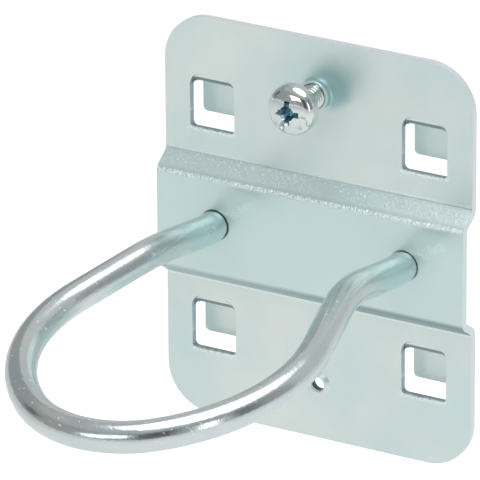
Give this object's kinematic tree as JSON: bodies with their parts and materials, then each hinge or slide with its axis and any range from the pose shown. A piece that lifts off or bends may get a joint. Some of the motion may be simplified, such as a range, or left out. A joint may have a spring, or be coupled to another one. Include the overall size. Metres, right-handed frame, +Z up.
{
  "type": "tool holder",
  "caption": "Ring tool holder for a perforated panel: folded plate with hook tabs, a riveted wire loop for a round tool and a clamp screw.",
  "frame": {"origin": "centre of the plate, on the plane of the flange backs that rests against the panel", "axes": "+X to the right seen from the front, +Y into the panel, +Z up; the ring stands out towards -Y"},
  "size_m": [0.055, 0.0801, 0.068],
  "materials": {
    "plate_zinc": "satin bright zinc plating with a faint blue-green cast",
    "wire_zinc": "glossy bright zinc plating",
    "screw_zinc": "polished bright zinc plating"
  },
  "bodies": {
    "holder": {"base_plate": "plate_zinc", "wire_ring": "wire_zinc"},
    "screw": {"clamp_screw": "screw_zinc"}
  },
  "joints": [
    {"name": "clamp_screw_travel", "type": "slide", "parent": "holder", "child": "screw", "axis": [0, 1, 0], "range_m": [0, 0.0053]}
  ]
}
